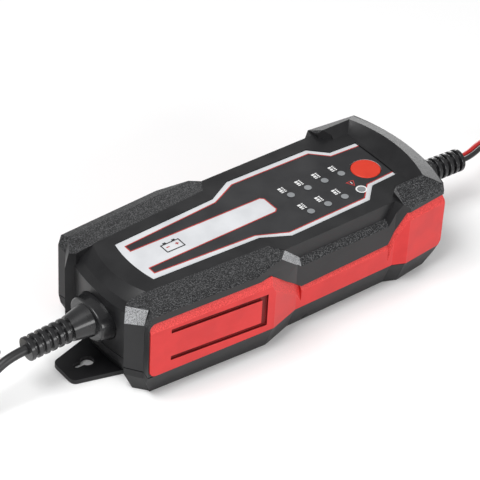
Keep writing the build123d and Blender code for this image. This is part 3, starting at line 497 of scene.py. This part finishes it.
def twin_tube(name, points, core_radius, finishes):
    """Two round cores side by side along one line."""
    sides = 12
    verts, faces, picks = [], [], []
    for core, way in enumerate((-1, 1)):
        base = len(verts)
        for k, point in enumerate(points):
            ahead = points[min(k + 1, len(points) - 1)] - points[max(k - 1, 0)]
            ahead.normalize()
            across = ahead.cross(Vector((0, 0, 1))).normalized()
            above = across.cross(ahead)
            middle = point + across * core_radius * way
            for corner in range(sides):
                angle = 2 * math.pi * corner / sides
                rim = across * math.cos(angle) + above * math.sin(angle)
                verts.append(middle + rim * core_radius)
        for k in range(len(points) - 1):
            for corner in range(sides):
                after = (corner + 1) % sides
                a = base + k * sides
                b = a + sides
                faces.append((a + corner, a + after, b + after, b + corner))
                picks.append(core)
    mesh = bpy.data.meshes.new(name)
    mesh.from_pydata([tuple(v) for v in verts], [], faces)
    for finish in finishes:
        mesh.materials.append(finish)
    for polygon, pick in zip(mesh.polygons, picks):
        polygon.material_index = pick
        polygon.use_smooth = True
    return added(name, mesh)


lead_points = points_of(lead_line)
bpy.data.objects.remove(lead_line)
lead = twin_tube("battery_twin", lead_points, lead_core_radius * MM, (lead_red, lead_black))
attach(lead, "charger")
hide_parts("battery_lead", "battery_lead_coil", "battery_lead_tail")
print("battery lead points:", len(lead_points))

# %% [markdown]
# ## The printed label
# The label is polyester film printed from behind: silver first, then a dark grey field with a thin
# red outline. The film comes from the frame. The print is made of very thin flat shapes laid on
# it, each a few hundredths of a millimetre above the last, which keeps every printed edge crisp.
# The grey field has a hole for the button, as the film has, so that the button can sink through.

# %% label inks
film_silver = grained("film_silver", (0.58, 0.59, 0.61), (0.65, 0.66, 0.68), (0.30, 0.40), 0.25,
                      0.004)
ink_grey = grained("ink_grey", (0.018, 0.018, 0.020), (0.026, 0.026, 0.028), (0.34, 0.44), 0.25,
                   0.005)
ink_red = grained("ink_red", (0.42, 0.035, 0.03), (0.50, 0.045, 0.04), (0.34, 0.44), 0.25, 0.004)
ink_white = grained("ink_white", (0.74, 0.74, 0.74), (0.82, 0.82, 0.82), (0.36, 0.46), 0.25, 0.004)
window_milk = grained("window_milk", (0.20, 0.21, 0.22), (0.28, 0.29, 0.30), (0.18, 0.28), 0.8,
                      0.01, coat=0.3)
film_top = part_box("label_overlay")[1][2]
layer = 0.04 * MM


def circle_points(x, y, radius, sides=64):
    """Points round a circle, in millimetres."""
    angles = [2 * math.pi * k / sides for k in range(sides)]
    return [(x + radius * math.cos(a), y + radius * math.sin(a)) for a in angles]


def flat_shape(name, outline, level, finish, hole=None):
    """One printed shape from an outline in millimetres, with a hole if one is given."""
    mesh = bpy.data.meshes.new(name)
    height = film_top + level * layer
    loops = [outline] + ([hole] if hole else [])
    verts = [(x * MM, y * MM, height) for loop in loops for x, y in loop]
    faces = [tuple(range(len(outline)))]
    if hole:
        faces = tessellate_polygon([[Vector((x, y, 0)) for x, y in loop] for loop in loops])
    mesh.from_pydata(verts, [], faces)
    mesh.materials.append(finish)
    shape = added(name, mesh)
    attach(shape, "charger")
    for polygon in mesh.polygons:
        if polygon.normal.z < 0:
            polygon.flip()
    return shape


def ribbon(name, path, width, level, finish):
    """A line of even width along a path in millimetres."""
    spots = [Vector(p) for p in path]
    left, right_side = [], []
    for k, spot in enumerate(spots):
        before = (spot - spots[k - 1]).normalized() if k else (spots[1] - spot).normalized()
        after = (spots[k + 1] - spot).normalized() if k < len(spots) - 1 else before
        across = Vector((-(before + after).y, (before + after).x)).normalized()
        reach_out = width / 2 / max(0.35, across.dot(Vector((-before.y, before.x))))
        left.append(spot + across * reach_out)
        right_side.append(spot - across * reach_out)
    verts = [(p.x * MM, p.y * MM, film_top + level * layer) for p in left + right_side]
    count = len(spots)
    mesh = bpy.data.meshes.new(name)
    mesh.from_pydata(verts, [], [(k, k + 1, count + k + 1, count + k) for k in range(count - 1)])
    if mesh.polygons[0].normal.z < 0:
        mesh.flip_normals()
    mesh.materials.append(finish)
    line = added(name, mesh)
    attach(line, "charger")
    return line


# %% label print
field_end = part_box("label_overlay")[1][0] / MM - 0.02
half_field = [(6.2, 6.3), (-69.0, 7.5), (-69.0, 11.9), (-13.4, 15.6), (1.8, 22.7), (48.8, 21.9),
              (57.0, 14.0)]
arc_bow, arc_half = 0.4, 15.7
arc_y = (13.1, 9.5, 6.5, 3.3, 0, -3.3, -6.5, -9.5, -13.1)
field_arc = [(field_end - arc_bow * (y / arc_half) ** 2, y) for y in arc_y]
nose = [(7.9, -4.9), (7.9, 4.9)]
other_half = [(x, -y) for x, y in reversed(half_field)]
field = nose + half_field + field_arc + other_half
button_low, button_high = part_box("mode_button")
button_x, button_y = [(button_low[k] + button_high[k]) / 2 / MM for k in (0, 1)]
button_hole_radius = 7.8
flat_shape("label_field", field, 1, ink_grey,
           hole=circle_points(button_x, button_y, button_hole_radius))
outline = [field_arc[-1]] + other_half + nose + half_field + [field_arc[0]]
ribbon("label_outline", outline, 0.55, 2, ink_red)
frame["nodes"]["label_overlay"].data.materials.clear()
frame["nodes"]["label_overlay"].data.materials.append(film_silver)

# %% [markdown]
# ## Windows, marks and the battery sign
# Eight round windows show the charge. Beside each one the real label has a short caption. Here two
# rows of tiny plain blocks stand for it, and a plain battery sign stands on the silver tongue. Each
# window is a shallow milky dome, which catches a small highlight as moulded light pipes do.

# %% helpers for windows and marks
def disc(name, centre, radius, level, finish, dome=0.0, hole=0.0):
    """A printed dot, ring or shallow dome."""
    sides = 40
    work = bmesh.new()
    rings = []
    for share in ((1.0, 0.8, 0.5) if not hole else (1.0, hole / radius)):
        ring = []
        for corner in range(sides):
            angle = 2 * math.pi * corner / sides
            height = film_top + level * layer + dome * MM * (1 - share * share)
            x = centre[0] + radius * share * math.cos(angle)
            y = centre[1] + radius * share * math.sin(angle)
            ring.append(work.verts.new((x * MM, y * MM, height)))
        rings.append(ring)
    for outer, inner in zip(rings, rings[1:]):
        for corner in range(sides):
            after = (corner + 1) % sides
            work.faces.new((outer[corner], outer[after], inner[after], inner[corner]))
    if not hole:
        work.faces.new(rings[-1])
    mesh = bpy.data.meshes.new(name)
    work.to_mesh(mesh)
    work.free()
    for polygon in mesh.polygons:
        polygon.use_smooth = True
    mesh.materials.append(finish)
    dot = added(name, mesh)
    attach(dot, "charger")
    return dot


def dash(name, centre, length, width, finish, along_y=True):
    """A short printed bar."""
    wide, long = (width / 2, length / 2) if along_y else (length / 2, width / 2)
    x, y = centre
    bar = [(x - wide, y - long), (x + wide, y - long), (x + wide, y + long), (x - wide, y + long)]
    return flat_shape(name, bar, 3, finish)


caption_lines = ((-2.9, 1.7, (0.7, 1.1, 1.2)), (-0.7, 1.0, (0.6, 0.8, 0.5, 0.7)))
caption_start = 3.4
caption_gap = 0.45


def caption_rows(name, places, finish):
    """Two rows of tiny blocks beside each window, which stand for a caption, in one mesh."""
    verts, faces = [], []
    for x, y in places:
        for across, tall, lengths in caption_lines:
            start = y + caption_start
            for length in lengths:
                base = len(verts)
                for dx, dy in ((0, 0), (tall, 0), (tall, length), (0, length)):
                    verts.append(((x + across + dx) * MM, (start + dy) * MM, film_top + 3 * layer))
                faces.append((base, base + 1, base + 2, base + 3))
                start += length + caption_gap
    mesh = bpy.data.meshes.new(name)
    mesh.from_pydata(verts, [], faces)
    mesh.materials.append(finish)
    rows = added(name, mesh)
    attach(rows, "charger")
    return rows


# %% windows and captions
caption_places = []
guide_margin = 2.3
first_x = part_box("light_guide")[0][0] / MM + guide_margin
window_pitch = 10.5
window_radius = 1.9
window_columns = 4
row_y = (0.0, -15.6)
alarm_window = (window_columns - 1, 1)
for column in range(window_columns):
    for row, y in enumerate(row_y):
        x = first_x + window_pitch * column
        tag = f"{column}_{row}"
        window = disc(f"window_{tag}", (x, y), window_radius, 4, window_milk, dome=0.12)
        if (column, row) != alarm_window:
            caption_places.append((x, y))
caption_rows("captions", caption_places, ink_white)

# %% the alarm sign
alarm_x = first_x + window_pitch * alarm_window[0]
ring = disc("alarm_ring", (alarm_x, row_y[1]), 2.9, 3, ink_white, hole=2.1)
ribbon("alarm_sign", [(alarm_x + 1.2, -7.6), (alarm_x - 3.0, -7.6), (alarm_x - 0.9, -11.4),
                      (alarm_x + 1.2, -7.6)], 0.4, 3, ink_red)
dash("alarm_mark", (alarm_x - 0.9, -8.9), 1.6, 0.4, ink_white)

# %% battery sign
sign_x = -50.0
sign_corners = ((-5, -2.8), (5, -2.8), (5, 2.8), (-5, 2.8), (-5, -2.8))
ribbon("battery_sign", [(sign_x + x, y) for x, y in sign_corners], 0.6, 3, ink_grey)
for step, lug in enumerate((-2.6, 2.6)):
    dash(f"battery_lug_{step}", (sign_x + lug, 3.5), 1.0, 1.8, ink_grey)
    dash(f"battery_pole_{step}", (sign_x + lug, 0.3), 1.9, 0.5, ink_red, along_y=False)
dash("battery_plus", (sign_x + 2.6, 0.3), 1.9, 0.5, ink_red)
label_pieces = [o for o in bpy.data.objects if o.name.startswith(("label", "caption"))]
print("label pieces:", len(label_pieces))

# %% [markdown]
# ## Rubber, metal and what is inside
# The strain reliefs are soft black PVC, a little shinier than the case. Plug and connector are
# harder and duller. Inside the case nothing shows, but each component still gets the finish it has
# on a real board, so that an opened model looks right.

# %% the other finishes
boot_black = grained("boot_black", (0.010, 0.010, 0.011), (0.018, 0.018, 0.019), (0.22, 0.32), 0.9,
                     0.015, coat=0.25)
plug_black = grained("plug_black", (0.020, 0.020, 0.021), (0.030, 0.030, 0.031), (0.40, 0.50), 0.5,
                     0.012)
steel = grained("zinc_steel", (0.42, 0.42, 0.43), (0.55, 0.55, 0.56), (0.26, 0.40), 0.3, 0.004)
nickel = grained("nickel", (0.52, 0.50, 0.46), (0.62, 0.60, 0.56), (0.16, 0.28), 0.3, 0.003)
board_green = grained("board_green", (0.02, 0.10, 0.04), (0.03, 0.15, 0.06), (0.34, 0.44), 0.4,
                      0.01)
resin_dark = grained("resin_dark", (0.018, 0.018, 0.020), (0.03, 0.03, 0.032), (0.4, 0.5), 0.4,
                     0.01)
film_yellow = grained("film_yellow", (0.55, 0.38, 0.05), (0.65, 0.45, 0.08), (0.34, 0.44), 0.5,
                      0.01)
ferrite_grey = grained("ferrite_grey", (0.04, 0.04, 0.04), (0.07, 0.07, 0.07), (0.5, 0.6), 0.5,
                       0.02)
copper = grained("enamelled_copper", (0.40, 0.14, 0.05), (0.52, 0.20, 0.07), (0.24, 0.36), 0.5,
                 0.02)
aluminium = grained("plain_aluminium", (0.50, 0.50, 0.51), (0.62, 0.62, 0.63), (0.30, 0.44), 0.4,
                    0.006)
sleeve_blue = grained("sleeve_blue", (0.02, 0.03, 0.10), (0.03, 0.045, 0.14), (0.26, 0.36), 0.5,
                      0.005)
fuse_white = grained("fuse_white", (0.62, 0.62, 0.60), (0.74, 0.74, 0.72), (0.3, 0.4), 0.4, 0.006)
for metal in (steel, nickel, copper, aluminium):
    metal.node_tree.nodes["Principled BSDF"].inputs["Metallic"].default_value = 1.0

node_finish = {
    "shell_gasket": boot_black, "housing_screws": steel, "mode_button": button_red,
    "switch_plunger": resin_dark, "tact_switch": resin_dark, "light_guide": window_milk,
    "indicator_leds": window_milk, "display_board": board_green, "display_board_screws": steel,
    "main_board": board_green, "main_board_screws": steel, "board_link": resin_dark,
    "transformer_core": ferrite_grey, "transformer_winding": copper, "mains_capacitor": sleeve_blue,
    "output_capacitors": sleeve_blue, "x_capacitor": film_yellow, "line_choke": ferrite_grey,
    "bridge_rectifier": resin_dark, "output_inductor": copper, "primary_heatsink": aluminium,
    "power_transistor": resin_dark, "output_heatsink": aluminium, "output_diode": resin_dark,
    "fuse": fuse_white, "fuse_clips": steel, "mains_wires": cord_black, "battery_wires": lead_red,
    "mains_boot": boot_black, "lead_boot": boot_black, "mains_plug": plug_black,
    "mains_plug_pins": nickel, "lead_connector": plug_black, "lead_connector_contacts": nickel,
    "coil_ties": boot_black,
}
for node, finish in node_finish.items():
    part = frame["nodes"][node]
    part.data.materials.clear()
    part.data.materials.append(finish)
print("finished parts:", len(node_finish))
